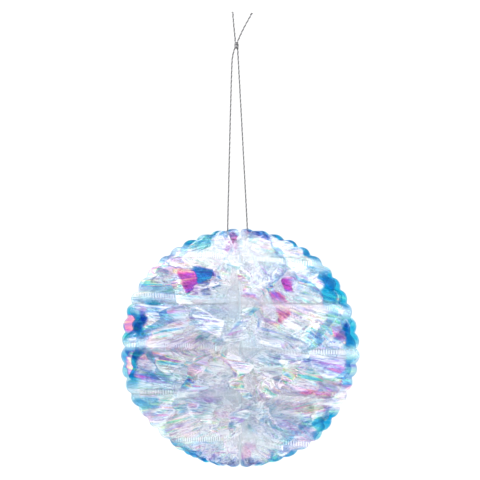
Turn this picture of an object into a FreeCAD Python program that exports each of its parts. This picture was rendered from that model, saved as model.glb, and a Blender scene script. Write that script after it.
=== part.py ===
import FreeCAD, Part
import math
import os

# A hanging honeycomb ball of clear iridescent film, in millimetres, +Z up.
# The origin is the centre of the ball and the front of the ball faces -Y.
#
# The ball is a fan of half-disc film leaves round an upright spine. Each leaf is
# heat-sealed to its two neighbours along level strips, in turn to the one on its
# left and the one on its right, so the opened leaf runs in a zigzag and two leaves
# side by side enclose a column of diamond cells. All the leaves are welded to each
# other along their straight edges, which makes the spine. A round hole through the
# spine, near the top, takes the hanging cord.
#
# A leaf is worked out in its own frame: x runs out from the spine along the middle
# of the leaf's wedge, y runs across the wedge and z runs up.

# ---- driving dimensions ----
LEAF_COUNT = 16  # an even number, because seals alternate from leaf to leaf
BALL_RADIUS = 75.0  # to the tips of the scallops, seen from the front
FILM = 0.1  # thickness of one leaf
SPINE_RADIUS = 0.8  # from the axis to the flats of the welded spine
SCALLOP_COUNT = 24  # along the curved edge of one leaf
SCALLOP_DEPTH = 2.0
CUTS_PER_SCALLOP = 4  # straight snips that make up one scallop
SEAL_PITCH = 28.5  # from one seal of a leaf to the next, which is on its other side
SEAL_HEIGHT = 3.0
POLE_MARGIN = 12.0  # no seal is centred nearer than this to the top or bottom
POLE_FOLD_RISE = 9.0  # from the middle of the last seal to the start of the last fold
POLE_FOLD_SLOPE = 0.3  # rise of the last fold for each millimetre out from the spine
HOLE_RADIUS = 4.0
HOLE_DEPTH = 9.0  # from the top of the ball down to the middle of the hang hole
CORD_DIAMETER = 1.0
CORD_SIDES = 8  # the laid plies are nearer an eight-sided section than a round one
KNOT_RADIUS = 1.55
KNOT_HEIGHT = 4.5
KNOT_WRAPS = 3
KNOT_FOOT = (-2.1, 0.0, 188.1)  # middle of the knot's underside
KNOT_LEAN = -8.0  # degrees about +Y

# The loop of the cord: down from the knot on the left, through the hang hole below
# the upper weld, and up again on the right. Both ends are inside the knot.
LOOP_POINTS = [
    (-2.75, 0.0, 189.4),
    (-4.45, -0.2, 184.6),
    (-5.17, -0.3, 177.5),
    (-7.60, -1.50, 77.5),
    (-7.72, -1.53, 70.4),
    (-5.10, -1.01, 67.7),
    (2.89, 0.575, 67.7),
    (4.86, 0.965, 69.75),
    (4.75, 0.95, 76.5),
    (-1.05, 0.1, 183.0),
    (-1.45, 0.0, 189.4),
]
# The two cut ends that stand up from the knot.
LEFT_TAIL_POINTS = [
    (-2.75, -0.45, 191.3),
    (-3.10, -0.40, 196.3),
    (-3.95, -0.20, 204.0),
    (-4.46, -0.10, 211.3),
]
RIGHT_TAIL_POINTS = [
    (-2.00, 0.45, 191.3),
    (1.30, 0.50, 198.9),
    (4.60, 0.30, 205.1),
    (7.70, 0.20, 210.6),
]

# ---- values worked out from them ----
WEDGE = 360.0 / LEAF_COUNT
WEDGE_SLOPE = math.tan(math.radians(WEDGE / 2))  # sideways for each millimetre out
BEYOND_RIM = BALL_RADIUS * 1.1  # facets run past the rim before it is cut
HOLE_MIDDLE = BALL_RADIUS - HOLE_DEPTH
LAST_SEAL = int((BALL_RADIUS - POLE_MARGIN) / SEAL_PITCH)  # seals above the middle one
ACROSS = FreeCAD.Vector(0, 1, 0)
UP = FreeCAD.Vector(0, 0, 1)


def sideways(side, out):
    """Place across the wedge of a leaf's first skin, at a distance out from the axis.

    side is -1 or +1 where the leaf lies against that neighbour, and 0 in the middle.
    The film lies on the +y side of the first skin, so against the neighbour on +y the
    first skin stands off by the film, and in the middle by half of it.
    """
    return side * out * WEDGE_SLOPE - FILM * (side + 1) / 2


def fold_lines(hand):
    """The leaf's fold lines from bottom to top, as (side, height at the spine, height
    beyond the rim). The last is None where only a corner at the spine lies between two
    seals, with folds that fan out from it to the ends of both."""
    half_seal = SEAL_HEIGHT / 2
    pole = BALL_RADIUS * 1.02
    last_fold = LAST_SEAL * SEAL_PITCH + POLE_FOLD_RISE
    last_fold_out = last_fold + POLE_FOLD_SLOPE * BEYOND_RIM
    lines = [(0, -pole, None), (0, -last_fold, -last_fold_out)]
    for row in range(-LAST_SEAL, LAST_SEAL + 1):
        side = -hand if row % 2 == 0 else hand
        middle = row * SEAL_PITCH
        lines.append((side, middle - half_seal, middle - half_seal))
        lines.append((side, middle + half_seal, middle + half_seal))
        if row < LAST_SEAL:
            lines.append((0, middle + SEAL_PITCH / 2, None))
    lines.append((0, last_fold, last_fold_out))
    lines.append((0, pole, None))
    return lines


def zigzag_facets(hand):
    """Corner lists of the leaf's flat facets, and the loop round all of them."""
    inner = []
    outer = []
    facets = []
    last_side = 0
    for side, height, height_out in fold_lines(hand):
        here = FreeCAD.Vector(SPINE_RADIUS, sideways(side, SPINE_RADIUS), height)
        if height_out is None:
            if outer:
                facets.append([inner[-1], outer[-1], here])
        else:
            there = FreeCAD.Vector(BEYOND_RIM, sideways(side, BEYOND_RIM), height_out)
            if not outer:
                facets.append([inner[-1], there, here])
            elif side == last_side:
                facets.append([inner[-1], outer[-1], there, here])
            elif side == 0:
                facets.append([inner[-1], outer[-1], here])
                facets.append([here, outer[-1], there])
            else:
                facets.append([inner[-1], outer[-1], there])
                facets.append([inner[-1], there, here])
            outer.append(there)
        inner.append(here)
        last_side = side
    return facets, inner + outer[::-1]


def flat_face(corners):
    return Part.Face(Part.makePolygon(corners + corners[:1]))


def zigzag_film(hand):
    """Solid of the folded film, before its rim is cut: the facets, the same facets one
    film further across, and the strips round the edge that join the two skins."""
    facets, loop = zigzag_facets(hand)
    through = ACROSS * FILM
    faces = []
    for corners in facets:
        faces.append(flat_face(corners))
        faces.append(flat_face([corner + through for corner in corners]))
    for start, end in zip(loop, loop[1:] + loop[:1]):
        faces.append(flat_face([start, end, end + through, start + through]))
    skin = Part.makeShell(faces)
    skin.sewShape()
    film = Part.Solid(skin)
    if film.Volume < 0:
        film.reverse()
    return film


def scalloped_cutter():
    """Prism across the wedge whose outline is the half-disc of a leaf: the axis, and
    a rim that rises as a parabola from the valley circle to the ball's radius and
    back in each scallop, snipped in equal straight cuts."""
    half_width = BEYOND_RIM * WEDGE_SLOPE * 1.5
    rim = []
    for cut in range(SCALLOP_COUNT * CUTS_PER_SCALLOP + 1):
        along = cut / CUTS_PER_SCALLOP
        rise = 1 - (2 * (along % 1) - 1) ** 2
        radius = BALL_RADIUS - SCALLOP_DEPTH * (1 - rise)
        angle = math.pi * (along / SCALLOP_COUNT - 0.5)
        out = radius * math.cos(angle)
        rim.append(FreeCAD.Vector(out, -half_width, radius * math.sin(angle)))
    return flat_face(rim).extrude(ACROSS * 2 * half_width)


def hole_cutter():
    """Round punch across the wedge, centred on the spine."""
    start = FreeCAD.Vector(0, -BALL_RADIUS, HOLE_MIDDLE)
    return Part.makeCylinder(HOLE_RADIUS, 2 * BALL_RADIUS, start, ACROSS)


def cut_leaf(hand):
    return zigzag_film(hand).common(scalloped_cutter()).cut(hole_cutter())


def placed_leaf(leaf, number):
    """The leaf turned to its own wedge. Leaf 0 faces the front, the next is to its
    right as seen from the front."""
    turned = leaf.copy()
    turned.rotate(FreeCAD.Vector(0, 0, 0), UP, number * WEDGE - 90)
    return turned


def spine_weld(bottom, top):
    """Many-sided bead with one flat for each leaf's straight edge."""
    corner_radius = SPINE_RADIUS / math.cos(math.radians(WEDGE / 2))
    corners = []
    for number in range(LEAF_COUNT):
        angle = math.radians((number + 0.5) * WEDGE)
        corners.append(
            FreeCAD.Vector(
                corner_radius * math.cos(angle), corner_radius * math.sin(angle), bottom
            )
        )
    return flat_face(corners).extrude(UP * (top - bottom))


def cord_section(middle, along):
    """Regular polygon square to the cord, as wide across its corners as the cord."""
    across = along.cross(ACROSS)
    across.normalize()
    rim = []
    for side in range(CORD_SIDES):
        place = middle + across * (CORD_DIAMETER / 2)
        rim.append(turned_about(place, middle, along, side * 360 / CORD_SIDES))
    return flat_face(rim)


def turned_about(place, centre, axis, degrees):
    return centre + FreeCAD.Rotation(axis, degrees).multVec(place - centre)


def cord_tube(points, name):
    """The cord's section carried along straight runs joined by tangent arcs. An arc
    takes 0.45 of the shorter of its two runs."""
    places = [FreeCAD.Vector(*point) for point in points]
    section = cord_section(places[0], places[1] - places[0])
    area = section.Area
    start = places[0]
    length = 0
    pieces = []
    for before, corner, after in zip(places, places[1:], places[2:]):
        incoming = corner - before
        outgoing = after - corner
        tangent = 0.45 * min(incoming.Length, outgoing.Length)
        incoming.normalize()
        outgoing.normalize()
        turn = incoming.getAngle(outgoing)
        radius = tangent / math.tan(turn / 2)
        print(f"{name}: turn {math.degrees(turn):.1f} degrees, radius {radius:.1f} mm")
        run = corner - incoming * tangent - start
        inward = outgoing - incoming
        inward.normalize()
        centre = corner + inward * (radius / math.cos(turn / 2))
        axis = incoming.cross(outgoing)
        pieces.append(section.extrude(run))
        section.translate(run)
        pieces.append(section.revolve(centre, axis, math.degrees(turn)))
        section.rotate(centre, axis, math.degrees(turn))
        length += run.Length + radius * turn
        start = corner + outgoing * tangent
    pieces.append(section.extrude(places[-1] - start))
    length += (places[-1] - start).Length
    tube = pieces[0].multiFuse(pieces[1:])
    share = tube.Volume / (area * length)
    print(f"{name}: length {length:.1f} mm, volume over section times length {share:.4f}")
    return tube


def cord_knot():
    """Barrel with one ridge for each wrap of the cord."""
    neck = KNOT_RADIUS - CORD_DIAMETER / 2
    foot = FreeCAD.Vector(*KNOT_FOOT)
    half_wrap = KNOT_HEIGHT / KNOT_WRAPS / 2
    profile = [foot]
    for step in range(2 * KNOT_WRAPS + 1):
        radius = neck if step % 2 == 0 else KNOT_RADIUS
        profile.append(foot + FreeCAD.Vector(radius, 0, step * half_wrap))
    profile.append(foot + UP * KNOT_HEIGHT)
    knot = flat_face(profile).revolve(foot, UP, 360)
    knot.rotate(foot + UP * (KNOT_HEIGHT / 2), ACROSS, KNOT_LEAN)
    return knot


def hanging_cord():
    """One length of cord: the loop, the knot that ties it, and its two cut ends."""
    loop = cord_tube(LOOP_POINTS, "loop")
    left = cord_tube(LEFT_TAIL_POINTS, "left tail")
    right = cord_tube(RIGHT_TAIL_POINTS, "right tail")
    return cord_knot().multiFuse([loop, left, right])


def export(shape, name):
    solids = shape.Solids
    if len(solids) != 1 or not solids[0].isValid():
        raise ValueError(f"{name} is not one sound solid")
    solids[0].exportStep(f"parts/{name}.step")
    print(f"{name}: volume {solids[0].Volume:.1f} mm3")


def main():
    os.makedirs("parts", exist_ok=True)
    right_handed = cut_leaf(+1)
    left_handed = cut_leaf(-1)
    for number in range(LEAF_COUNT):
        leaf = right_handed if number % 2 == 0 else left_handed
        export(placed_leaf(leaf, number), f"leaf_{number + 1:02d}")
    spine_end = BALL_RADIUS - SCALLOP_DEPTH
    export(spine_weld(-spine_end, HOLE_MIDDLE - HOLE_RADIUS), "spine_weld_lower")
    export(spine_weld(HOLE_MIDDLE + HOLE_RADIUS, spine_end), "spine_weld_upper")
    export(hanging_cord(), "hanging_cord")


main()
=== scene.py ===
"""Film honeycomb ball on a twisted cord loop: sixteen crinkled, see-through
leaves sealed to each other in rows, a welded spine, and the cord it hangs on."""
import math

import bpy
import numpy as np
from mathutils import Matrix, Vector


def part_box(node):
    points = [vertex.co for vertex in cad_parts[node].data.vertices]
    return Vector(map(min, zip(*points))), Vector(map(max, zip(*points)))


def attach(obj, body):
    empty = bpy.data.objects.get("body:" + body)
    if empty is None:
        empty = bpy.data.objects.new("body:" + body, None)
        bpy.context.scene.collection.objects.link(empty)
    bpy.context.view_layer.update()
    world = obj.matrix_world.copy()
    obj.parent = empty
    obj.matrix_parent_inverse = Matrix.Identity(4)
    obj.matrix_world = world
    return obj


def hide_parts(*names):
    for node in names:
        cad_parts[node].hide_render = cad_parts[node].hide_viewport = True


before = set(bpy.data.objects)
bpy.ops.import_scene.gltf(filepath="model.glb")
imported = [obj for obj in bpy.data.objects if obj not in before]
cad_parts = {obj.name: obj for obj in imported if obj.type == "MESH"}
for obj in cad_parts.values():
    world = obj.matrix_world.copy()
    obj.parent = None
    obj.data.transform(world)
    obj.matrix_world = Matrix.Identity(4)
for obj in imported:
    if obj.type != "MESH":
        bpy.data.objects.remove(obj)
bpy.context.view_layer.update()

# ---------------------------------------------------------------- sizes, in mm
MM = 0.001
LEAVES = sorted(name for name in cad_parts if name.startswith("leaf_"))
LEAF_COUNT = len(LEAVES)
HALF_WEDGE = math.pi / LEAF_COUNT
SPINE_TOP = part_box("spine_weld_upper")[1].z / MM
SPINE_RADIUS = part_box("spine_weld_upper")[1].x / MM
VALLEY_RADIUS = SPINE_TOP
TIP_RADIUS = VALLEY_RADIUS + 2.0
SCALLOPS = 24
FILM = 0.1
SEAL_PITCH = 28.5
SEAL_HEIGHT = 3.0
SEAL_START = 4.0  # how far out from the axis a sealed row begins
POLE_FOLD = 66.0  # height of the folds near the poles, at the axis
POLE_SLOPE = 0.3  # and how much higher they lie for each mm out
HANG_TILT = 0.06  # how much the sealed rows run down towards +X
ROW_LEAN = 3.0  # how far a sealed row may rise or fall at the rim
CORD = 1.0
UP = np.array([0.0, 0.0, 1.0])


def leaf_axes(turn):
    """The level directions out along a leaf and across it, for a leaf turned
    by that angle from the front."""
    return (
        np.array([math.sin(turn), -math.cos(turn), 0.0]),
        np.array([math.cos(turn), math.sin(turn), 0.0]),
    )


# ----------------------------------------------------------------- mesh makers
def grid_faces(rows, columns, closed=False):
    """Quads of a grid of points stored row by row; closed joins the last
    column to the first."""
    r = np.arange(rows - 1)[:, None]
    c = np.arange(columns if closed else columns - 1)[None, :]
    a = r * columns + c
    b = r * columns + (c + 1) % columns
    return np.stack([a, b, b + columns, a + columns], -1).reshape(-1, 4)


def end_caps(rows, columns):
    """Two many-sided faces that close the ends of a tube made of rows of
    points."""
    first = list(range(columns))[::-1]
    last = [(rows - 1) * columns + i for i in range(columns)]
    return [first, last]


def joined(parts):
    """Several shapes as one: each is its points, faces and caps, and its faces
    and caps count on from the points of the shapes before it."""
    starts = np.cumsum([0] + [len(points) for points, _, _ in parts]).tolist()
    points = np.concatenate([part[0] for part in parts])
    faces = np.concatenate([part[1] + start for part, start in zip(parts, starts)])
    caps = [
        [i + start for i in cap]
        for part, start in zip(parts, starts) for cap in part[2]
    ]
    return points, faces, caps


def build(name, shape, material, layers, sharp=None):
    """A mesh piece from a shape's points in mm, faces and caps, with float
    layers stored on its points. It rides on the only body and names its
    material slot. Edges sharper than that many degrees stay sharp."""
    points, faces, caps = shape
    mesh = bpy.data.meshes.new(name)
    mesh.from_pydata((points * MM).tolist(), [], faces.tolist() + caps)
    mesh.update()
    for key, values in layers.items():
        stored = mesh.attributes.new(key, "FLOAT", "POINT")
        stored.data.foreach_set("value", values.astype(np.float32).ravel())
    mesh.polygons.foreach_set("use_smooth", [True] * len(mesh.polygons))
    if sharp is not None:
        mesh.set_sharp_from_angle(angle=math.radians(sharp))
    mesh.materials.append(material)
    piece = bpy.data.objects.new(name, mesh)
    bpy.context.scene.collection.objects.link(piece)
    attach(piece, "root")
    return piece


# ---------------------------------------------------------------- finish maker
class Finish:
    """A finish being made: a material with a principled shader and its output,
    and short names for the sums that its nodes work out. Every sum takes
    numbers or sockets and gives a socket."""

    def __init__(self, name):
        self.material = bpy.data.materials.new(name)
        self.material.use_nodes = True
        self.tree = self.material.node_tree
        self.tree.nodes.clear()
        self.output = self.node("OutputMaterial")
        self.shader = self.node("BsdfPrincipled")
        self.feed(self.output, "Surface", self.shader.outputs[0])

    def feed(self, made, at, value):
        """Puts a number or colour on a node's input, or joins a socket to it."""
        if isinstance(value, bpy.types.NodeSocket):
            self.tree.links.new(value, made.inputs[at])
        else:
            made.inputs[at].default_value = value

    def node(self, kind, inputs=None, settings=None):
        """One node, with its settings and its inputs."""
        made = self.tree.nodes.new("ShaderNode" + kind)
        for key, value in (settings or {}).items():
            setattr(made, key, value)
        for at, value in (inputs or {}).items():
            self.feed(made, at, value)
        return made

    def shade(self, **inputs):
        """Inputs of the principled shader, with _ for a space in a name."""
        for at, value in inputs.items():
            self.feed(self.shader, at.replace("_", " "), value)

    def place(self):
        """The point's place on the object."""
        return self.node("TexCoord").outputs["Object"]

    def layer(self, name):
        """The float layer of that name, stored on the piece's points."""
        return self.node("Attribute", settings={"attribute_name": name}).outputs["Fac"]

    def maths(self, operation, a, b=0.0, clamp=False):
        """A sum on two values, kept between 0 and 1 if clamp."""
        settings = {"operation": operation, "use_clamp": clamp}
        return self.node("Math", {0: a, 1: b}, settings).outputs[0]

    def add(self, a, b, clamp=False):
        """a + b"""
        return self.maths("ADD", a, b, clamp)

    def less(self, a, b, clamp=False):
        """a - b"""
        return self.maths("SUBTRACT", a, b, clamp)

    def times(self, a, b, clamp=False):
        """a x b"""
        return self.maths("MULTIPLY", a, b, clamp)

    def rest(self, a):
        """1 - a"""
        return self.less(1.0, a)

    def off(self, a, level):
        """How far a is from a level, either way."""
        return self.maths("ABSOLUTE", self.less(a, level))

    def thin(self, off, sharpness):
        """A thin line where a pattern is on its level: 1 - off x sharpness,
        never below 0."""
        return self.less(1.0, self.times(off, sharpness), clamp=True)

    def above(self, a, level, steep):
        """Patches where a is above a level: (a - level) x steep, from 0 to 1."""
        return self.times(self.less(a, level), steep, clamp=True)

    def noise(self, at, scale, detail, roughness=0.5):
        """Smooth noise about 0.5, that many waves to a unit of the place."""
        inputs = {"Vector": at, "Scale": scale, "Detail": detail}
        return self.node("TexNoise", {**inputs, "Roughness": roughness}).outputs[0]

    def vector(self, x, y, z):
        """Three values as a place in a pattern."""
        return self.node("CombineXYZ", {"X": x, "Y": y, "Z": z}).outputs[0]

    def ramp(self, factor, stops):
        """A colour ramp with its stops given as (place, colour)."""
        made = self.node("ValToRGB", {"Fac": factor})
        marks = made.color_ramp.elements
        while len(marks) < len(stops):
            marks.new(0.5)
        for mark, (place, colour) in zip(marks, stops):
            mark.position = place
            mark.color = (*colour, 1.0)
        return made.outputs["Color"]

    def mix(self, factor, a, b):
        """Two colours mixed: a where the factor is 0, b where it is 1."""
        inputs = {0: factor, 6: a, 7: b}
        return self.node("Mix", inputs, {"data_type": "RGBA"}).outputs[2]

    def bump(self, height, strength, distance):
        """A bump of that height in metres on the shader. Returns its normals."""
        inputs = {"Height": height, "Strength": strength, "Distance": distance}
        normal = self.node("Bump", inputs).outputs[0]
        self.shade(Normal=normal)
        return normal


# -------------------------------------------------------------------- finishes
CYAN, AZURE, BLUE, NAVY, VIOLET, MAGENTA, PINK, PEACH, CREAM, MINT, AQUA = (
    0.00, 0.11, 0.24, 0.37, 0.49, 0.59, 0.67, 0.74, 0.80, 0.87, 0.94)
IRIDESCENCE = (
    (CYAN, (0.01, 0.47, 0.69)),
    (AZURE, (0.00, 0.37, 0.67)),
    (BLUE, (0.00, 0.19, 0.60)),
    (NAVY, (0.04, 0.07, 0.48)),
    (VIOLET, (0.26, 0.07, 0.66)),
    (MAGENTA, (0.66, 0.05, 0.54)),
    (PINK, (0.90, 0.18, 0.46)),
    (PEACH, (0.97, 0.60, 0.48)),
    (CREAM, (0.97, 0.93, 0.58)),
    (MINT, (0.36, 0.84, 0.62)),
    (AQUA, (0.10, 0.68, 0.68)),
    (1.00, (0.01, 0.47, 0.69)),
)
PASTELS = (
    (CYAN, (0.24, 0.85, 0.92)),
    (AZURE, (0.30, 0.76, 0.93)),
    (BLUE, (0.42, 0.64, 0.93)),
    (NAVY, (0.58, 0.55, 0.93)),
    (VIOLET, (0.74, 0.46, 0.93)),
    (MAGENTA, (1.00, 0.38, 0.82)),
    (PINK, (1.00, 0.42, 0.58)),
    (PEACH, (1.00, 0.68, 0.44)),
    (CREAM, (1.00, 0.96, 0.40)),
    (MINT, (0.44, 0.98, 0.58)),
    (AQUA, (0.28, 0.95, 0.80)),
    (1.00, (0.24, 0.85, 0.92)),
)
CLEAR = (1.0, 1.0, 1.0, 1.0)
RIM_GREY = (0.76, 0.76, 0.72, 1.0)
# painted shade: the blue-grey of the dark reflections that run beside creases
PAINTED_SHADE_LINE = (0.40, 0.47, 0.60, 1.0)
CUT_EDGE = (0.45, 0.60, 0.72, 1.0)
CALM_MILK = (0.985, 0.995, 0.985, 1.0)
# partly painted highlight: the near-white of creases and drawn crease lines
CREASE_AND_HIGHLIGHT_WHITE = (0.985, 0.99, 0.985, 1.0)
# Waves in a metre of the film's slow drift of hue and of its small cracks.
DRIFT_SCALE, CRACK_SCALE = 70.0, 260.0
# The fan pattern's steps for each mm out and each leaf, and the waves in a step
# of its streaks and of its broad folds.
FAN_OUT, FAN_LEAF = 0.045, 0.12
STREAK_SCALE, FOLD_SCALE = 0.6, 0.22
MIDDLE = 0.5  # the level that smooth noise wanders about
STREAK_SHARPNESS, CRACK_SHARPNESS = 26.0, 22.0
SHADE_LINE_LEVEL = 0.44  # the level of the streaks along which a painted shade line runs
STAIN_LEVEL, STAIN_STEEP = 0.54, 9.0
THREAD_LEVEL, THREAD_STEEP = 0.55, 14.0
HUE_DRIFT, HUE_STREAK = 0.6, 2.2  # how far each pattern turns the hue
LINE_SHARE = 0.8  # how white a drawn crease, partly painted highlight, is beside one of the mesh
STAIN_DEPTH = 0.3  # how much deep colour a stain brings
SHADE_LINE_SHARE, EDGE_SHARE = 0.8, 0.6  # how strong the painted shade lines and the dark cut edges are
DEEP_LEAST, DEEP_MORE = 0.1, 0.6  # deep colour in the surface, and in patches
FOLD_LIFT = 2.5  # how high broad folds stand beside streaks
MIRROR_MOST = 0.85
# How much paler, flatter and duller the crushed middle's surface is, and how
# much less it shines at a glance.
CALM_PALE, CALM_FLAT, CALM_DULL, CALM_GLANCE = 0.6, 0.4, 0.5, 0.8
GLANCE_POWER, GLANCE_MOST = 4.0, 0.5
CREASE_COVER = 0.36  # how much a crease hides
DEEP_CLEAR = 0.6  # how much clearer film is in deep colour


def film_finish():
    """See-through iridescent film: a hue that turns with the lie of each
    facet, pale in most places and deep in patches, very glossy. Creases show
    as fine whiter lines that run out from the spine: partly the film's own
    whitening where it is bent, partly painted highlight, matt white that
    stays bright from any side. The film is a mix of a clear tint, which
    colours what lies behind, and its own glossy surface."""
    film = Finish("iridescent_film")
    place = film.place()
    loose, calm = film.layer("loose"), film.layer("calm")
    fan = film.vector(
        film.times(film.layer("out"), FAN_OUT),
        film.layer("fan"),
        film.times(film.layer("leaf"), FAN_LEAF),
    )
    drift = film.noise(place, DRIFT_SCALE, detail=2.0)
    streaks = film.noise(fan, STREAK_SCALE, detail=3.0, roughness=0.6)
    folds = film.noise(fan, FOLD_SCALE, detail=1.0)
    cracks = film.noise(place, CRACK_SCALE, detail=1.0)

    # white creases, partly the film's own whitening and partly painted
    # highlight: the sharp bends of the mesh, the streaks, and a net of
    # cracks where the film is crushed
    streak_off = film.off(streaks, MIDDLE)
    lines = film.thin(streak_off, STREAK_SHARPNESS)
    cracks = film.thin(film.off(cracks, MIDDLE), CRACK_SHARPNESS)
    lines = film.maths("MAXIMUM", lines, film.times(cracks, film.layer("crushed")))
    lines = film.times(lines, LINE_SHARE)
    crease = film.add(film.layer("crease"), lines, clamp=True)
    crease = film.times(crease, loose)

    # hue: the piece's own, turned by the drift and the streaks
    shift = film.times(film.less(drift, MIDDLE), HUE_DRIFT)
    shift = film.add(shift, film.times(film.less(streaks, MIDDLE), HUE_STREAK))
    hue = film.maths("FRACT", film.add(film.layer("hue"), film.times(shift, loose)))
    deep, pastel = film.ramp(hue, IRIDESCENCE), film.ramp(hue, PASTELS)

    # tint of what lies behind: clear, then pastel stains, then deep colour,
    # then painted shade lines beside the streaks, which stand for dark
    # reflections along creases, and the dark cut edge
    stain = film.above(folds, STAIN_LEVEL, STAIN_STEEP)
    thread = film.above(streaks, THREAD_LEVEL, THREAD_STEEP)
    stain = film.times(film.add(stain, thread), film.layer("stain"), clamp=True)
    depth = film.times(stain, STAIN_DEPTH)
    depth = film.add(film.layer("depth"), depth, clamp=True)
    # the see-through tint turns greyer and darker towards the rim, less in the rim's
    # band of colour
    tint = film.mix(film.layer("rim_grey"), CLEAR, RIM_GREY)
    tint = film.mix(stain, tint, pastel)
    tint = film.mix(depth, tint, deep)
    # painted shade: thin dark lines beside the streaks, standing for dark reflections
    # along creases
    shade_line = film.thin(film.off(streaks, SHADE_LINE_LEVEL), STREAK_SHARPNESS)
    shade_line = film.times(film.times(shade_line, loose), SHADE_LINE_SHARE)
    shade_line = film.times(shade_line, film.rest(calm))
    tint = film.mix(shade_line, tint, PAINTED_SHADE_LINE)
    tint = film.mix(film.times(film.layer("edge"), EDGE_SHARE), tint, CUT_EDGE)

    # the film's own surface: milky colour, fine relief and a metallic gloss
    milk = film.mix(film.times(calm, CALM_PALE), pastel, CALM_MILK)
    patch = film.add(DEEP_LEAST, film.times(film.layer("patch"), DEEP_MORE))
    milk = film.mix(patch, milk, deep)
    # partly painted highlight: creases turn near-white and, below, lose their metallic
    # gloss, so they stay bright from any side
    milk = film.mix(crease, milk, CREASE_AND_HIGHLIGHT_WHITE)
    lift = film.add(streak_off, film.times(film.off(folds, MIDDLE), FOLD_LIFT))
    lift = film.times(lift, film.rest(film.times(calm, CALM_FLAT)))
    normal = film.bump(lift, strength=1.0, distance=0.0022)
    mirror = film.times(film.rest(crease), MIRROR_MOST)
    mirror = film.times(mirror, film.rest(film.times(calm, CALM_DULL)))
    film.shade(Base_Color=milk, Metallic=mirror, Roughness=0.12)
    film.shade(Coat_Weight=0.5, Coat_Roughness=0.05)

    # how much the surface covers: haze, gloss at a glance, and creases
    glance = film.node("LayerWeight", {"Blend": 0.5, "Normal": normal})
    glance = film.maths("POWER", glance.outputs["Facing"], GLANCE_POWER)
    glance = film.times(glance, GLANCE_MOST)
    free = film.less(loose, film.times(calm, CALM_GLANCE))
    glance = film.times(glance, free, clamp=True)
    cover = film.add(film.layer("haze"), glance)
    cover = film.add(cover, film.times(crease, CREASE_COVER), clamp=True)
    cover = film.times(cover, film.rest(film.times(depth, DEEP_CLEAR)))

    # the far side of the film's thickness adds nothing of its own
    inner = film.node("NewGeometry").outputs["Backfacing"]
    cover = film.times(cover, film.rest(inner))
    tint = film.mix(inner, tint, CLEAR)
    through = film.node("BsdfTransparent", {"Color": tint}).outputs[0]
    both = film.node("MixShader", {0: cover, 1: through, 2: film.shader.outputs[0]})
    film.feed(film.output, "Surface", both.outputs[0])
    return film.material


CLOUD_SCALE, WORN_SCALE = 900.0, 55.0  # waves in a metre
WORN_STEEP, WORN_DROP = 4.0, 1.3
CREST_POWER = 2.5
WELD_LEAST, WELD_CREST = 0.03, 0.78  # how much a seal hides, and more on a rib
SPINE_SCALE, SPINE_STRETCH = 1400.0, 0.15
THREAD_ALONG, THREAD_AROUND = 0.35, 9.0  # the filaments' steps, for mm and radians
PLY_SHADE = 0.19  # painted shade on the second ply, for each of the ply layer's steps
MELT = ((0.3, (0.86, 0.90, 0.92)), (0.7, (0.95, 0.96, 0.96)))
FROST = ((0.3, (0.52, 0.66, 0.74)), (0.7, (0.80, 0.84, 0.88)))
FILAMENTS = (
    (0.3, (0.08, 0.08, 0.083)), (0.5, (0.24, 0.24, 0.25)), (0.72, (0.48, 0.48, 0.50)),
)
# partly painted shade: the near-black of the second ply, standing for the dark between
# the glints of the twist
SHADED_PLY_COLOUR = (0.008, 0.008, 0.010, 1.0)
PLY_STEP = 5.0  # the ply layer's value on the second ply: 0 on the first


def weld_finish():
    """Heat-sealed film: milky and softly shining where the layers have melted
    together, most on the crests of its ribs, and worn clear in places."""
    weld = Finish("welded_film")
    place = weld.place()
    cloud = weld.noise(place, CLOUD_SCALE, detail=3.0)
    weld.bump(cloud, strength=0.3, distance=0.0002)
    worn = weld.times(weld.noise(place, WORN_SCALE, detail=1.0), WORN_STEEP)
    worn = weld.less(worn, WORN_DROP, clamp=True)
    crest = weld.maths("POWER", weld.layer("rib"), CREST_POWER)
    crest = weld.times(crest, worn)
    weld.shade(
        Base_Color=weld.ramp(cloud, MELT),
        Alpha=weld.add(WELD_LEAST, weld.times(crest, WELD_CREST)),
        Roughness=0.25,
        Coat_Weight=0.6,
    )
    return weld.material


def spine_finish():
    """The welded core: frosted film with upright streaks, half clear."""
    spine = Finish("welded_spine")
    upright = {"Vector": spine.place(), "Scale": (1.0, 1.0, SPINE_STRETCH)}
    upright = spine.node("Mapping", upright).outputs[0]
    streaks = spine.noise(upright, SPINE_SCALE, detail=3.0)
    spine.bump(streaks, strength=0.5, distance=0.0003)
    spine.shade(
        Base_Color=spine.ramp(streaks, FROST),
        Alpha=0.5,
        Roughness=0.7,
        Specular_IOR_Level=0.1,
    )
    return spine.material


def cord_finish():
    """Silver-grey spun thread: fine filaments run along each ply. The second
    ply is painted darker than the first, partly as painted shade for the
    dark between the glints of the twisted plies, so the twist reads as dashes."""
    cord = Finish("twisted_cord")
    ply = cord.layer("ply")
    along = cord.times(cord.layer("along"), THREAD_ALONG)
    around = cord.times(cord.layer("around"), THREAD_AROUND)
    fibres = cord.noise(cord.vector(along, around, ply), 1.0, detail=3.0)
    cord.bump(fibres, strength=0.6, distance=0.00008)
    thread = cord.ramp(fibres, FILAMENTS)
    cord.shade(
        # partly painted shade: the second ply is darkened along its whole length
        Base_Color=cord.mix(cord.times(ply, PLY_SHADE), thread, SHADED_PLY_COLOUR),
        Metallic=0.35,
        Roughness=0.42,
        Sheen_Weight=0.2,
    )
    return cord.material


FILM_FINISH = film_finish()
WELD_FINISH = weld_finish()
SPINE_FINISH = spine_finish()
CORD_FINISH = cord_finish()

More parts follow.
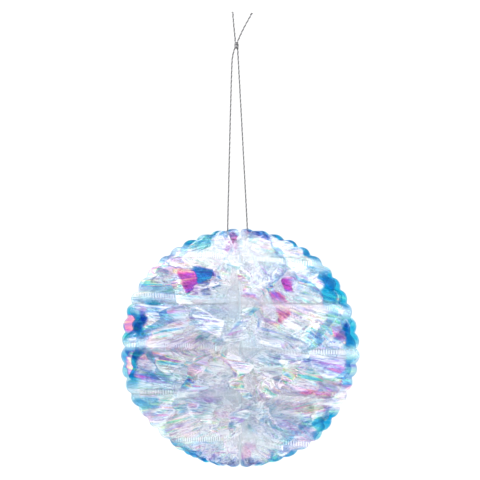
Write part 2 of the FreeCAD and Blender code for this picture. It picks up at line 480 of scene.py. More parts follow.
# ---------------------------------------------------------------------- camera
DISTANCE = 1.5
VIEW_WIDTH = 0.302  # how much of the ball's own plane fits across the view
CAMERA_SIDE, CAMERA_RISE = 0.0001, 0.0678  # from the ball's centre
spine_low, spine_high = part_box("spine_weld_lower")[0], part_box("spine_weld_upper")[1]
ball_centre = (spine_low + spine_high) / 2
view = bpy.data.cameras.new("camera")
view.sensor_width = 36.0
view.lens = view.sensor_width * DISTANCE / VIEW_WIDTH
view.clip_start, view.clip_end = 0.05, 30.0
camera = bpy.data.objects.new("camera", view)
camera.location = (
    ball_centre.x + CAMERA_SIDE, ball_centre.y - DISTANCE, ball_centre.z + CAMERA_RISE
)
camera.rotation_euler = (math.pi / 2, 0.0, 0.0)
bpy.context.scene.collection.objects.link(camera)
bpy.context.scene.camera = camera

# ----------------------------------------------------------------------- cords
# The cord's two halves, each from the hole in the leaves up to the knot and on
# to its cut end. Points are in mm.
LEFT_HALF = (
    (-1.10, -0.218, 67.7), (-5.10, -1.01, 67.7), (-7.72, -1.53, 70.4),
    (-7.60, -1.50, 77.5), (-5.17, -0.3, 177.5), (-4.45, -0.2, 184.6),
    (-2.75, 0.0, 189.4), (-2.75, -0.45, 191.3), (-3.10, -0.40, 196.3),
    (-3.95, -0.20, 204.0), (-4.46, -0.10, 211.3),
)
RIGHT_HALF = (
    (-1.10, -0.218, 67.7), (2.89, 0.575, 67.7), (4.86, 0.965, 69.75),
    (4.75, 0.95, 76.5), (-1.05, 0.1, 183.0), (-1.45, 0.0, 189.4),
    (-2.00, 0.45, 191.3), (1.30, 0.50, 198.9), (4.60, 0.30, 205.1),
    (7.70, 0.20, 210.6),
)
CORD_STEP = 0.35
PLIES = 2
PLY_SIDES = 10
TWIST_PITCH = 3.0
PLY_RADIUS = CORD / 2 * 0.66
PLY_ORBIT = CORD / 2 * 0.5
FRAY_LENGTH = 2.5  # how much of a cut end opens out, and by what share
FRAY = 0.5
# The knot: its middle, its height, how many wraps, how far it leans, and how
# wide its wraps are at its ends and how much wider at its middle.
KNOT_MIDDLE = np.array([-2.1, 0.0, 190.2])
KNOT_TALL = 3.6
KNOT_WRAPS = 3.1
KNOT_LEAN = math.radians(-8)
KNOT_WIDE, KNOT_BARREL = 0.60, 0.50
KNOT_STEP = 0.12


def route_line(points):
    """The smooth line of a cord: a NURBS spline on its route's points, read
    back as close points, in mm."""
    data = bpy.data.curves.new("route", "CURVE")
    data.dimensions = "3D"
    spline = data.splines.new("NURBS")
    spline.points.add(len(points) - 1)
    for spot, (x, y, z) in zip(spline.points, points):
        spot.co = (x * MM, y * MM, z * MM, 1.0)
    spline.order_u = 3
    spline.use_endpoint_u = True
    spline.resolution_u = 24
    holder = bpy.data.objects.new("route", data)
    bpy.context.scene.collection.objects.link(holder)
    bpy.context.view_layer.update()
    seen = holder.evaluated_get(bpy.context.evaluated_depsgraph_get())
    mesh = bpy.data.meshes.new_from_object(seen)
    line = np.empty(len(mesh.vertices) * 3)
    mesh.vertices.foreach_get("co", line)
    bpy.data.objects.remove(holder)
    bpy.data.curves.remove(data)
    bpy.data.meshes.remove(mesh)
    return line.reshape(-1, 3) / MM


def even_steps(line, step):
    """A line's points moved along it to even steps. Returns them, and how far
    along the line each is."""
    steps = np.linalg.norm(np.diff(line, axis=0), axis=1)
    run = np.concatenate([[0.0], np.cumsum(steps)])
    keep = np.concatenate([[True], np.diff(run) > 1e-9])
    run, line = run[keep], line[keep]
    marks = np.linspace(0.0, run[-1], max(4, int(run[-1] / step)))
    return np.stack([np.interp(marks, run, line[:, i]) for i in range(3)], 1), marks


def square_to(line):
    """At each point of a line, two directions square to it and to each other:
    the first is level with the view from the front, square to Y as well."""
    ahead = np.gradient(line, axis=0)
    ahead /= np.linalg.norm(ahead, axis=1, keepdims=True)
    side = np.cross(ahead, [0.0, 1.0, 0.0])
    side /= np.linalg.norm(side, axis=1, keepdims=True)
    return side, np.cross(ahead, side)


def twisted_plies(line, marks, swell):
    """A twisted cord: each ply is a round tube whose centre circles the line
    once in every pitch. Point = line + orbit x turning direction + ply radius
    x circle round it, with both radii times the swell. Returns the shape and
    its layers: how far along, how far round from the outside, which ply."""
    side, rise = square_to(line)
    ply_radius = PLY_RADIUS * swell
    orbit = PLY_ORBIT * swell
    around = np.linspace(0, 2 * math.pi, PLY_SIDES, endpoint=False)
    rows = len(line)
    parts = []
    for ply in range(PLIES):
        angle = 2 * math.pi * marks / TWIST_PITCH + 2 * math.pi * ply / PLIES
        radial = np.cos(angle)[:, None] * side + np.sin(angle)[:, None] * rise
        swing = -np.sin(angle)[:, None] * side + np.cos(angle)[:, None] * rise
        centre = line + orbit[:, None] * radial
        ring = (
            np.cos(around)[None, :, None] * radial[:, None, :]
            + np.sin(around)[None, :, None] * swing[:, None, :]
        )
        points = centre[:, None, :] + ply_radius[:, None, None] * ring
        faces = grid_faces(rows, PLY_SIDES, closed=True)[:, ::-1]
        caps = [cap[::-1] for cap in end_caps(rows, PLY_SIDES)]
        parts.append((points.reshape(-1, 3), faces, caps))
    return joined(parts), {
        "along": np.tile(np.repeat(marks, PLY_SIDES), PLIES),
        "around": np.tile(np.minimum(around, 2 * math.pi - around), rows * PLIES),
        "ply": np.repeat(np.arange(PLIES) * PLY_STEP, rows * PLY_SIDES),
    }


def cord_half(name, route):
    """One half of the cord, as a two-ply twist on its route, which
    opens out at its cut end with the square of the distance into it."""
    line, marks = even_steps(route_line(route), CORD_STEP)
    to_end = (marks - marks[-1] + FRAY_LENGTH) / FRAY_LENGTH
    shape, layers = twisted_plies(line, marks, 1.0 + FRAY * np.clip(to_end, 0, 1) ** 2)
    piece = build(name, shape, CORD_FINISH, layers)
    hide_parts("hanging_cord")


def knot_line():
    """The line of the knot's wraps: a helix round a leaning axis, wider at its
    middle than at its ends by half a sine wave, so that it bulges like a
    barrel."""
    t = np.linspace(0, 1, 120)
    angle = 2 * math.pi * KNOT_WRAPS * t
    wide = KNOT_WIDE + KNOT_BARREL * np.sin(math.pi * t)
    x, y = wide * np.cos(angle), wide * np.sin(angle)
    z = (t - 0.5) * KNOT_TALL
    lean_x = x * math.cos(KNOT_LEAN) + z * math.sin(KNOT_LEAN)
    lean_z = z * math.cos(KNOT_LEAN) - x * math.sin(KNOT_LEAN)
    return KNOT_MIDDLE + np.stack([lean_x, y, lean_z], 1)


def cord_knot():
    """The knot: one strand wound round both cords and pulled tight."""
    line, marks = even_steps(knot_line(), KNOT_STEP)
    shape, layers = twisted_plies(line, marks, np.ones(len(line)))
    knot = build("cord_knot", shape, CORD_FINISH, layers)
    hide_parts("hanging_cord")


cord_half("cord_left", LEFT_HALF)
cord_half("cord_right", RIGHT_HALF)
cord_knot()


# ---------------------------------------------------------------------- leaves
# How fast a sealed row's lean changes from plane to plane and row to row.
LEAN_PLANE, LEAN_ROW, LEAN_FIRST = 2.1, 1.7, 0.6
SIDE_ROOM = FILM * 0.6  # half the film's thickness and a little air
START_RADIUS = SPINE_RADIUS * 0.6  # a leaf starts just inside the spine
START_TOP = SPINE_TOP - 0.3
GRID_ACROSS, GRID_SCALLOP = 58, 9  # points across a leaf, steps on a scallop
GRID_END = math.radians(89.3)  # how near the rim's ends come to the poles
LEAST_RUN = 0.5  # the shortest run of film between two seals
SEAL_FADE = 3.5  # how far from a seal's edge the film is calmer
CREASE_FADE = 0.4  # the last share of a crease's reach, over which it fades
LEAF_SEED = 400
SCALLOP_BEND = 1.6  # how far a scallop's tip usually bends
SHARP_CREASE, SHARP_STRIP = 24, 40  # degrees past which an edge stays sharp
RIM_REACH = 74.0  # how far out creases from the rim start
RIM_ANGLES = (-1.4, 1.4)  # where on the half circle creases start
POLE_CALM = 12  # how soon creases grow from the poles
FIELD_FLAT = 0.7  # how much flatter film is in a deep field
ROOM, SEAL_ROOM = 0.93, 0.07  # the share of the wedge that film fills, and more
SCALLOP_START, SCALLOP_WIDTH = 0.93, 0.07  # where a scallop's bend grows


def rim_radius(angle):
    """The scalloped rim: a low arch over each of the even parts of the half
    circle, from the valley radius to the tip radius."""
    along = (angle / math.pi + 0.5) * SCALLOPS
    part = along - np.floor(along)
    return VALLEY_RADIUS + (TIP_RADIUS - VALLEY_RADIUS) * (1 - (2 * part - 1) ** 2)


def wedge_width(out):
    """Half the room that a leaf has at that distance from the spine: distance
    x tangent of half a wedge, less half the film and a little air."""
    return np.maximum(out * math.tan(HALF_WEDGE) - SIDE_ROOM, 0.0)


def row_height(out, plane, row, x):
    """Height of a sealed row: its even place, less the ball's tilt, and a lean
    of its own that grows towards the rim."""
    phase = LEAN_PLANE * (plane % LEAF_COUNT) + LEAN_ROW * row + LEAN_FIRST
    lean = ROW_LEAN * math.sin(phase)
    return row * SEAL_PITCH - HANG_TILT * x + lean * out / VALLEY_RADIUS


class Leaf:
    """One leaf's grid, before it is folded. A point goes from the spine (share
    0) to the scalloped rim (share 1) along a straight line, and from the lower
    pole to the upper one by its angle. Its draws are its own."""

    def __init__(self, index):
        self.index = index
        self.draw = np.random.default_rng(LEAF_SEED + index)
        self.turn = 2 * math.pi * index / LEAF_COUNT
        self.hand = 1 if index % 2 == 0 else -1  # the side of its odd rows
        self.half = 0 if math.sin(self.turn) > 0.01 else 1  # 0 on the right
        angle = np.linspace(-1, 1, SCALLOPS * GRID_SCALLOP + 1) * GRID_END
        share = np.linspace(0, 1, GRID_ACROSS)
        self.angle, self.share = np.meshgrid(angle, share, indexing="ij")
        rim = rim_radius(self.angle)
        reach = rim * np.cos(self.angle) - START_RADIUS
        start_z = START_TOP * np.sin(self.angle)
        self.out = START_RADIUS + self.share * reach
        self.z = start_z + self.share * (rim * np.sin(self.angle) - start_z)

    def sealed_rows(self):
        """Heights of the sealed rows and the side that each is on, with the
        folds near the poles as the first and last."""
        plane = round(self.turn / (2 * HALF_WEDGE))
        fold = POLE_FOLD + POLE_SLOPE * self.out
        places, sides = [-fold], [0.0]
        for row in range(-2, 3):
            side = -self.hand if row % 2 == 0 else self.hand
            on_plane = plane if side > 0 else plane - 1
            across = side * wedge_width(self.out)
            x = self.out * math.sin(self.turn) + across * math.cos(self.turn)
            places.append(row_height(self.out, on_plane, row, x))
            sides.append(side)
        return [*places, fold], [*sides, 0.0]

    def folds(self):
        """How far to its side the film lies, from -1 to 1: level with a seal
        on its own plane, and running straight from each seal to the next. Also
        how close a point is to a seal, 1 on it and 0 from 3.5 mm off its edge."""
        places, sides = self.sealed_rows()
        half = SEAL_HEIGHT / 2
        fold, near = np.zeros_like(self.out), np.zeros_like(self.out)
        for i in range(len(places) - 1):
            low = places[i] + (half if sides[i] else 0.0)
            high = places[i + 1] - (half if sides[i + 1] else 0.0)
            step = np.clip((self.z - low) / np.maximum(high - low, LEAST_RUN), 0, 1)
            fold = fold + (sides[i + 1] - sides[i]) * step
            if sides[i]:
                gap = np.clip(np.abs(self.z - places[i]) - half, 0, None)
                near = np.maximum(near, 1 - np.clip(gap / SEAL_FADE, 0, 1))
        return fold, near

    def crumple(self, count, start, lengths, openings, steepness, spread):
        """Creases of crumpled film: a sum of cone folds. Each has a point, a
        direction, an opening and a reach, and stands slope x distance x
        (opening - angle off its line) high, so that it is a straight sharp
        ridge that widens away from its point."""
        draw = self.draw
        height = np.zeros_like(self.out)
        for _ in range(count):
            at_x, at_z, heading = start(draw)
            heading += draw.normal(0, spread)
            reach = draw.uniform(*lengths)
            opening = draw.uniform(*openings)
            slope = draw.choice([-1, 1]) * draw.uniform(*steepness)
            dx, dz = self.out - at_x, self.z - at_z
            away = np.hypot(dx, dz)
            off = np.abs(np.angle(np.exp(1j * (np.arctan2(dz, dx) - heading))))
            fade = np.clip((reach - away) / (CREASE_FADE * reach), 0, 1)
            height += slope * away * np.maximum(opening - off, 0) * fade
        return height

    def wander(self, waves):
        """A smooth wandering value along the rim, about -1 to 1: a sum of
        cosines with drawn phases and up to that many waves round the half
        circle."""
        along = self.angle[:, 0]
        value = np.zeros_like(along)
        for wave in range(1, waves + 1):
            phase = self.draw.uniform(0, 2 * math.pi)
            value += np.cos(2 * wave * along + phase) * self.draw.normal(0, 1)
        return (value / math.sqrt(waves))[:, None]


def from_spine(draw):
    """A crease that starts at the spine and runs straight out."""
    return draw.uniform(0, 3), draw.uniform(-72, 72), 0.0


def from_rim(draw):
    """A crease that starts at the rim and runs to the middle."""
    angle = draw.uniform(*RIM_ANGLES)
    return RIM_REACH * math.cos(angle), RIM_REACH * math.sin(angle), angle + math.pi


def from_inside(draw):
    """A crease that starts anywhere and runs mostly out or in."""
    angle, far = draw.uniform(*RIM_ANGLES), draw.uniform(8, 68)
    heading = draw.choice([0.0, math.pi]) + 0.6 * angle
    return far * math.cos(angle), far * math.sin(angle), heading


# Kinds of crease on a leaf: how many, where they start, the ranges of their
# reach in mm, of their opening in radians and of their slope, and how far
# their direction strays, in radians. Patches of colour follow broad folds of
# their own, which don't bend the film.
CREASES = (
    (80, from_spine, (30, 110), (0.03, 0.10), (0.7, 1.7), 0.6),
    (36, from_rim, (15, 60), (0.05, 0.3), (0.5, 1.2), 0.4),
    (24, from_inside, (12, 44), (0.05, 0.28), (0.5, 1.3), 0.6),
)
PATCH_FOLDS = (14, from_inside, (20, 50), (0.3, 0.9), (0.3, 0.5), 1.5)

# Deep fields of colour: leaf, distance out, height, half size out, half size up,
# lean in degrees, taper, colour, change of colour towards the top, strength.
FIELDS = (
    (14, 44, 42.5, 9, 8, 0, 0.1, MAGENTA, 0.08, 0.97),
    (14, 27, 43, 13, 8, -6, 0.5, 0.2, 0.05, 0.97),
    (13, 8.5, 51, 4.5, 2.6, 35, 0, 0.95, 0, 0.9),
    (13, 51, 33, 13, 6.5, 0, -0.1, 0.02, 0, 0.45),
    (12, 54, 28, 6.5, 2.6, 14, 0.6, 0.04, 0, 0.95),
    (12, 60.5, 20, 2.8, 7, 0, 0, 0.46, 0.03, 0.9),
    (12, 68.5, 15, 5, 6, 0, 0, 0.62, 0.03, 0.75),
    (13, 44, 16, 7, 3, 5, 0, 0.62, 0, 0.4),
    (13, 27, 5, 6.5, 4, 0, -0.5, 0.05, 0, 0.95),
    (12, 63, -10, 8, 8, 0, 0, 0.65, 0.05, 0.5),
    (13, 44, -15, 9, 4, 12, 0, CREAM, 0, 0.4),
    (13, 59, -34, 9, 4.5, 0, 0, 0.02, 0, 0.7),
    (13, 30, -39.5, 10, 2.6, 4, 0, VIOLET, 0, 0.4),
    (13, 36, -47, 10, 4.5, 0, 0, 0.70, 0.04, 0.35),
    (12, 56, -42, 6, 3.5, -30, 0, 0.63, 0, 0.45),
    (13, 18.5, -66, 5, 4, -20, 0, VIOLET, 0, 0.5),
    (14, 6.5, 65.5, 5, 7.5, 20, 0.2, MAGENTA, 0.02, 0.97),
    (13, 27, 65, 10, 4, -26, 0, 0.0, 0, 0.95),
    (13, 39, 55, 5.5, 1.1, 0, 0, 0.32, 0, 0.85),
    (12, 44, 49.5, 10, 5, -20, 0, CREAM, 0.06, 0.35),
    (13, 6, -71.8, 9, 2.8, 8, 0, 0.12, 0, 0.97),
    (12, 5, -71.5, 8, 3.2, 8, 0, 0.12, 0, 0.97),
    (3, 6, -71.8, 9, 2.8, 8, 0, 0.12, 0, 0.97),
    (4, 9, -71, 8, 3.2, 8, 0, 0.05, 0, 0.97),
    (2, 39, 40, 3.9, 4.8, 0, 0, 0.58, 0, 0.97),
    (2, 31, 27, 5.5, 11, 28, -0.3, 0.62, -0.04, 0.9),
    (3, 62, 19.5, 10, 5.5, -8, 0, 0.02, 0, 0.55),
    (4, 67, 13, 2, 4.5, 0, 0, 0.26, 0, 0.95),
    (4, 63.5, 8, 4, 2.3, -20, 0, 0.69, 0, 0.65),
    (3, 65, 10, 4.5, 5.5, 0, 0, 0.44, 0.04, 0.5),
    (4, 67.5, 2, 1.7, 3.2, 0, 0, 0.2, 0, 0.95),
    (4, 71, -17, 4, 5.5, 0, 0, 0.06, 0, 0.6),
    (3, 61, -21, 8, 4, -14, 0, 0.28, 0, 0.4),
    (2, 52, -26.5, 7, 1.6, 8, 0, 0.66, 0, 0.9),
    (3, 50, -34.5, 9, 1.6, -10, 0, 0.68, 0, 0.5),
    (2, 54, -34, 8, 5, 0, 0, MINT, 0, 0.35),
    (3, 65, -35, 5, 5, 0, 0, 0.3, 0, 0.45),
    (3, 55, -48, 6.5, 6.5, 40, 0, 0.02, 0, 0.92),
    (3, 37, -60, 13, 3.6, 20, 0.3, 0.43, 0.03, 0.5),
    (2, 46, -50, 11, 1.5, -3, 0, 0.94, 0, 0.6),
    (3, 21, -70, 6, 2.2, 18, 0, 0.0, 0, 0.9),
    (2, 10, -12, 8, 6, -30, 0, 0.94, 0, 0.4),
    (3, 13, 71.5, 10, 2.2, -22, 0, 0.24, 0, 0.97),
    (3, 5, 73, 2.4, 1.6, 0, 0, 0.52, 0, 0.95),
    (3, 9, 68.5, 3.5, 3, 0, -0.4, 0.96, 0, 0.9),
    (3, 24, 56, 4.5, 2.6, 0, 0, 0.95, 0, 0.4),
)
# Where the streaks of each strip between two seals fan out from: height, and
# distance behind the spine, for the right half of the ball and the left.
FANS = (
    ((-62, 10), (-38, -6), (-4, 6), (46, 4), (58, -6), (66, 10)),
    ((-60, 8), (-36, 10), (-28, 3), (20, 12), (40, 6), (64, 8)),
)
FAN_STEPS, STRIP_STEPS = 40.0, 50.0  # steps of the fan for a radian, for a strip
# How deep the rim's colour is at heights from the lower pole to the upper, for
# the right half of the ball and the left: the heights, then the depths.
RIM_TONES = (
    (
        (-74, -60, -45, -38, -15, -6, 20, 74),
        (0.9, 1.0, 1.0, 0.3, 0.3, 0.9, 1.1, 1.1),
    ),
    (
        (-74, -66, -58, -35, -20, -8, 24, 32, 50, 58, 74),
        (1.0, 0.8, 0.3, 0.3, 0.7, 1.1, 1.1, 0.1, 0.0, 0.9, 1.0),
    ),
)
# The share of that depth on each leaf from the front one to the one before the
# back, and again from the back one round to the front.
RIM_SHARES = (0.3, 0.3, 0.65, 1.0, 1.0, 1.0, 0.65, 0.3)
RIM_START, RIM_EDGE = 0.88, 0.03  # where the rim's colour starts, how soft it is
CUT_START, CUT_EDGE_WIDTH = 0.99, 0.009
HUE_MIDDLE, HUE_SWING, HUE_HEIGHT = 0.88, 0.34, 7.5  # the hue's wave up a leaf
FIELD_EDGE = 0.9  # width of a deep field's soft edge
RIM_WANDER, RIM_HUE = 0.35, 0.06  # how much the rim's depth and its hue wander
PATCH_STEEP, PATCH_DROP = 5.0, 3.3  # the broad folds' tops are patches
DEPTH_LEAST, DEPTH_PATCH = 0.03, 0.6
HAZE_LEAST, HAZE_FILM, HAZE_PATCH, HAZE_SEAL, HAZE_SPINE = 0.03, 0.05, 0.08, 0.1, 0.06
# the most that the film's see-through tint greys towards the rim
STAIN_MOST, STAIN_POWER, RIM_GREY_MOST = 0.75, 1.6, 0.55
CALM_REACH = 40  # how far out the film's calm middle goes, in mm


def up_to(value, full, low=0.0, high=1.0):
    """A value's share of a full one, kept between low and high."""
    return np.clip(value / full, low, high)


def colour_fields(index, out, z):
    """The deep fields that lie on a leaf, as a strength and a colour: each is
    a leaning four-cornered patch with soft corners, |u|^4 + |v|^4 < 1, whose
    height changes along it by its taper. The fields of every leaf but the two
    that lie flat on from the front, 4 and 12, are repeated on the opposite
    side of the ball, upside down."""
    strength, hue = np.zeros_like(out), np.zeros_like(out)
    for leaf, far, high, half_out, half_up, lean, taper, colour, rise, deep in FIELDS:
        if leaf == index:
            hand = 1
        elif (leaf + LEAF_COUNT // 2) % LEAF_COUNT == index and leaf % 4:
            hand = -1
        else:
            continue
        tip = math.radians(lean)
        dx, dz = out - far, hand * z - high
        u = (dx * math.cos(tip) + dz * math.sin(tip)) / half_out
        tall = half_up * np.clip(1 + taper * u, 0.1, 2)
        v = (dz * math.cos(tip) - dx * math.sin(tip)) / tall
        edge = (1 - (u**4 + v**4) ** 0.25) * min(half_out, half_up) / FIELD_EDGE
        inside = np.clip(edge, 0, 1) * deep
        hue = np.where(inside > strength, colour + rise * v, hue)
        strength = np.maximum(strength, inside)
    return strength, hue


def folded_across(leaf, fold, near, field):
    """How far each point of a leaf lies to its side: the zigzag from seal to
    seal, plus creases that die away at seals, in deep fields and at the poles,
    held inside the wedge between its neighbours. Each scallop of the rim then
    bends its own way, by the square of the distance into the rim."""
    width = wedge_width(leaf.out)
    rough = sum(leaf.crumple(*kind) for kind in CREASES)
    pole = np.clip((1 - np.abs(leaf.z) / SPINE_TOP) * POLE_CALM, 0, 1)
    rough = rough * (1 - near) * (1 - FIELD_FLAT * field) * pole
    room = width * (ROOM + SEAL_ROOM * near)
    across = np.clip(fold * width + rough, -room, room)
    part = np.floor((leaf.angle / math.pi + 0.5) * SCALLOPS).astype(int)
    bend = leaf.draw.normal(0, SCALLOP_BEND, SCALLOPS)[part.clip(0, SCALLOPS - 1)]
    in_rim = up_to(leaf.share - SCALLOP_START, SCALLOP_WIDTH)
    across = across + bend * in_rim ** 2 * (1 - near) * pole
    return np.clip(across, -width, width)


def slope(across, along, axis):
    """How steeply the leaf leaves its plane along one way of its grid: the
    change across over the change along, within 2 either way."""
    step = np.maximum(np.abs(np.gradient(along, axis=axis)), 0.3)
    return np.clip(np.gradient(across, axis=axis) / step, -2, 2)


def film_layers(leaf, across, near, field, field_hue):
    """The float layers that the film's finish reads: its hue, how deep and how
    hazy it is, where its creases are, and the map that its streaks run in.
    Creases are where the slope of the folded leaf changes."""
    out, z, share = leaf.out, leaf.z, leaf.share
    slope_z = slope(across, z, 0)
    slope_x = slope(across, out, 1)
    bend = np.hypot(np.gradient(slope_z, axis=0), np.gradient(slope_x, axis=1))
    crease = np.clip(bend * 1.6 - 0.25, 0, 1) * up_to(out, 20, 0.3)
    wave = leaf.crumple(*PATCH_FOLDS)
    wave = (wave - wave.min()) / np.ptp(wave)
    patch = np.clip(wave * PATCH_STEEP - PATCH_DROP, 0, 1)

    # the band of deep colour at the rim, and its own hues from cyan to azure
    heights, tones = RIM_TONES[leaf.half]
    strong = np.interp(z, heights, tones) + RIM_WANDER * leaf.wander(9)
    strong = np.clip(strong, 0, 1)
    strong = strong * RIM_SHARES[leaf.index % len(RIM_SHARES)]
    start = share - RIM_START + RIM_EDGE * leaf.wander(14)
    band = up_to(start, RIM_EDGE) * strong * (1 - np.clip(field * 3, 0, 1))
    cyan = RIM_HUE + RIM_HUE * np.tanh(leaf.wander(12))

    wave_hue = HUE_SWING * np.sin(z / HUE_HEIGHT + 2.5 * math.sin(leaf.turn))
    hue = HUE_MIDDLE + wave_hue + 0.05 * slope_z + 0.06 * slope_x + 0.25 * (wave - 0.5)
    hue = np.where(field > 0.02, field_hue, np.where(band > 0.3, cyan, hue)) % 1.0
    depth = (DEPTH_LEAST + DEPTH_PATCH * patch) * up_to(out, CALM_REACH, 0.1)
    depth = np.maximum(np.maximum(depth, band), field) * (1 - 0.7 * near)
    calm = np.clip(1.1 - out / CALM_REACH, 0, 1)
    haze = HAZE_LEAST + (HAZE_FILM + HAZE_PATCH * patch) * (1 - band) + HAZE_SEAL * near
    haze = haze * (1 - 0.4 * up_to(out, 60)) * (1 - 0.65 * calm)
    haze = haze + HAZE_SPINE * np.clip(1 - out / 5, 0, 1)
    stain = STAIN_MOST * up_to(out, 50, 0.22, 1.15) ** STAIN_POWER
    strip = np.digitize(z.ravel(), SEAL_PITCH * np.arange(-2, 3)).reshape(z.shape)
    apex, behind = np.array(FANS[leaf.half], float)[strip].transpose(2, 0, 1)
    apex = apex + 9.0 * math.sin(2.4 * leaf.index)
    behind = behind + 3.0 * math.cos(1.7 * leaf.index)
    return {
        "hue": hue,
        "depth": np.clip(depth, 0, 1),
        "haze": np.clip(haze, 0, 1),
        "out": out,
        "fan": np.arctan2(z - apex, out + behind) * FAN_STEPS + STRIP_STEPS * strip,
        "leaf": np.full_like(out, leaf.index),
        "crease": crease,
        "loose": (1 - 0.8 * band) * (1 - 0.75 * field),
        "patch": np.maximum(0.4 * patch * (1 - near), field),
        "stain": stain * (1 - band) * (1 - field) * (1 - near),
        "edge": up_to(share - CUT_START, CUT_EDGE_WIDTH),
        "calm": calm,
        "rim_grey": RIM_GREY_MOST * up_to(out, 70) ** 2 * (1 - 0.6 * band),
        "crushed": np.clip(1.1 - out / 45 + 0.5 * (wave - 0.5), 0, 1),
    }


def film_leaf(index, name):
    """One leaf of film: its grid, folded across and given its thickness.
    Point = distance out along the leaf + distance across it + height."""
    leaf = Leaf(index)
    fold, near = leaf.folds()
    field, field_hue = colour_fields(index, leaf.out, leaf.z)
    across = folded_across(leaf, fold, near, field)
    layers = film_layers(leaf, across, near, field, field_hue)
    ahead, level = leaf_axes(leaf.turn)
    points = (
        leaf.out[..., None] * ahead + across[..., None] * level + leaf.z[..., None] * UP
    )
    shape = points.reshape(-1, 3), grid_faces(*leaf.out.shape), []
    piece = build(
        "film_" + name, shape, FILM_FINISH, layers, SHARP_CREASE
    )
    skin = piece.modifiers.new("film", "SOLIDIFY")
    skin.thickness = FILM * MM
    skin.offset = 0.0
    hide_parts(name)


for index, name in enumerate(LEAVES):
    film_leaf(index, name)


# ----------------------------------------------------------------- seal strips
STRIP_RADIUS = VALLEY_RADIUS + 0.5  # a strip ends just past the rim's valleys
RIB_PITCH, RIB_STEPS = 1.6, 4
RIB_BASE, RIB_RISE = 0.10, 0.14  # half thickness between ribs, and more on one
STRIP_TALL, STRIP_SWELL = 1.35, 0.12  # half height of a strip, and its swell
WORN_PLANES = 0.85  # how much fainter the ribs of every other plane are
STRIP_SECTION = np.array([
    (-1, -0.75), (-0.6, -1), (0.6, -1), (1, -0.75),
    (1, 0.75), (0.6, 1), (-0.6, 1), (-1, 0.75),
])


def seal_strip(plane, row):
    """A sealed strip between two leaves: a flat bar standing on the plane
    between them, pressed into upright ribs. Half thickness = a base plus a
    rib that rises as the size of a cosine along the bar. Returns its shape and
    how high the rib is at each point."""
    turn = HALF_WEDGE * (2 * plane + 1)
    ahead, level = leaf_axes(turn)
    rim = math.sqrt(STRIP_RADIUS ** 2 - (row * SEAL_PITCH) ** 2)
    ribs = int((rim / math.cos(HALF_WEDGE) - SEAL_START) / RIB_PITCH)
    far = np.linspace(SEAL_START, SEAL_START + ribs * RIB_PITCH, ribs * RIB_STEPS + 1)
    rib = np.abs(np.cos(math.pi * (far - SEAL_START) / RIB_PITCH))
    swell = np.cos(2 * math.pi * (far - SEAL_START) / RIB_PITCH)
    thick = (RIB_BASE + RIB_RISE * rib)[:, None] * STRIP_SECTION[:, 0]
    tall = (STRIP_TALL + STRIP_SWELL * swell)[:, None] * STRIP_SECTION[:, 1]
    z = row_height(far, plane, row, far * math.sin(turn))
    points = (
        far[:, None, None] * ahead
        + thick[..., None] * level
        + (z[:, None] + tall)[..., None] * UP
    )
    rows, columns = len(far), len(STRIP_SECTION)
    faces = grid_faces(rows, columns, closed=True)
    shape = points.reshape(-1, 3), faces, end_caps(rows, columns)
    return shape, np.repeat(rib, columns)


for plane in range(LEAF_COUNT):
    rows = (-1, 1) if plane % 2 == 0 else (-2, 0, 2)
    shapes, ribs = zip(*(seal_strip(plane, row) for row in rows))
    strength = 1.0 if plane % 2 else WORN_PLANES
    build(
        f"seal_rows_{plane + 1:02d}", joined(shapes), WELD_FINISH,
        {"rib": np.concatenate(ribs) * strength}, SHARP_STRIP,
    )

for name in ("spine_weld_lower", "spine_weld_upper"):
    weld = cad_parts[name]
    weld.data.materials.clear()
    weld.data.materials.append(SPINE_FINISH)


# ------------------------------------------------------------ studio and light
# Sizes in metres. Lamps: name, place, side of the square, power in watts.
PAPER = (0.62, 0.62, 0.62, 1.0)
DAYLIGHT, DAYLIGHT_STRENGTH = (1.0, 1.0, 1.0, 1.0), 1.05
FLOOR_Z, FLOOR_FRONT, FLOOR_BACK = -0.6, -2.6, 1.6
SWEEP_RADIUS, WALL_TOP, SWEEP_SIDE = 0.7, 3.4, 3.5
LAMPS = (
    ("key", (-1.1, -1.3, 1.3), 2.0, 58.0),
    ("fill", (1.4, -1.0, 0.6), 1.7, 38.0),
    ("top", (0.0, 0.2, 1.8), 1.8, 16.0),
    ("back", (0.6, 1.3, 0.8), 1.6, 38.0),
)


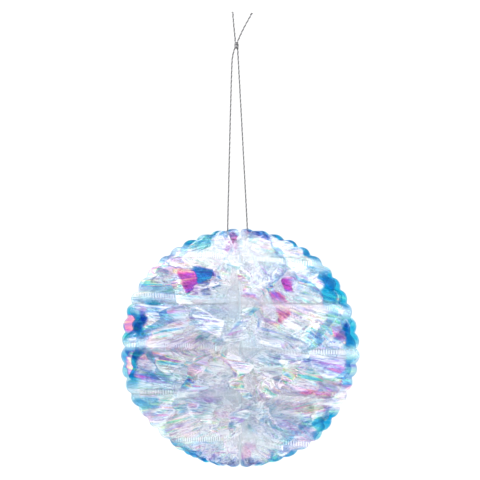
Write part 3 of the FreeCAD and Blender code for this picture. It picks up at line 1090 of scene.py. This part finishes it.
def studio_sweep():
    """The floor and backdrop: a level sheet of plain pale matt paper that
    curves up behind into a wall. Profile = straight, quarter circle, straight,
    carried sideways."""
    turn = np.linspace(0, math.pi / 2, 24)
    bend = np.stack([
        FLOOR_BACK + SWEEP_RADIUS * np.sin(turn),
        FLOOR_Z + SWEEP_RADIUS * (1 - np.cos(turn)),
    ], 1)
    wall = FLOOR_BACK + SWEEP_RADIUS
    profile = np.concatenate([[[FLOOR_FRONT, FLOOR_Z]], bend, [[wall, WALL_TOP]]])
    sideways = np.tile([-SWEEP_SIDE, SWEEP_SIDE], len(profile))
    points = np.column_stack([sideways, np.repeat(profile, 2, axis=0)])
    paper = Finish("studio_paper")
    paper.shade(Base_Color=PAPER, Roughness=0.9)
    mesh = bpy.data.meshes.new("studio_sweep")
    mesh.from_pydata(points.tolist(), [], grid_faces(len(profile), 2).tolist())
    mesh.polygons.foreach_set("use_smooth", [True] * len(mesh.polygons))
    mesh.materials.append(paper.material)
    sweep = bpy.data.objects.new("studio_sweep", mesh)
    bpy.context.scene.collection.objects.link(sweep)


def soft_light(name, place, size, power):
    """A square soft light turned to face the ball's centre."""
    data = bpy.data.lights.new(name, "AREA")
    data.shape = "SQUARE"
    data.size = size
    data.energy = power
    lamp = bpy.data.objects.new(name, data)
    lamp.location = place
    aim = Vector() - lamp.location
    lamp.rotation_euler = aim.to_track_quat("-Z", "Y").to_euler()
    bpy.context.scene.collection.objects.link(lamp)


studio_sweep()
for lamp in LAMPS:
    soft_light(*lamp)

world = bpy.data.worlds.new("studio")
world.use_nodes = True
background = world.node_tree.nodes["Background"]
background.inputs["Color"].default_value = DAYLIGHT
background.inputs["Strength"].default_value = DAYLIGHT_STRENGTH
bpy.context.scene.world = world
bpy.context.scene.view_settings.view_transform = "Standard"
# light passes through many layers of film before it reaches the backdrop
bpy.context.scene.cycles.transparent_max_bounces = 64
bpy.context.scene.cycles.diffuse_bounces = 6
bpy.context.scene.cycles.glossy_bounces = 10
bpy.context.scene.cycles.max_bounces = 12
